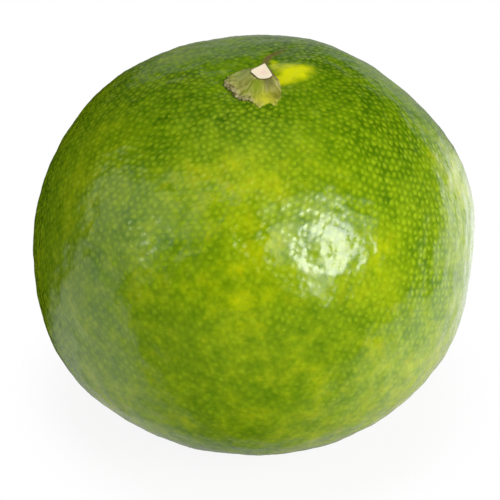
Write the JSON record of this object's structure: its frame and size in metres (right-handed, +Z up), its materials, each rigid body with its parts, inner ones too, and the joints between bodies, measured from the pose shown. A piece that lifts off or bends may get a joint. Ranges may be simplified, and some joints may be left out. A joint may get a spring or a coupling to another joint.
{
  "type": "satsuma mandarin",
  "caption": "Whole green satsuma mandarin, a squat round fruit with pitted glossy peel, a calyx and a cut stem stub on top and a small flat to rest on.",
  "frame": {"origin": "centre of the overall footprint, on the plane of the resting flat at the blossom end", "axes": "+Z up toward the stem end, -Y toward the side with the longer sepals, +X to the right of it"},
  "size_m": [0.0605, 0.06, 0.0535],
  "materials": {
    "peel": "waxy green citrus peel, finely pitted, with lighter oil glands",
    "calyx": "dry olive green calyx with corky grey-brown margins",
    "stem": "pale freshly cut stem with thin brown bark"
  },
  "bodies": {
    "root": {"fruit": "peel", "calyx": "calyx", "stem_stub": "stem"}
  },
  "joints": []
}
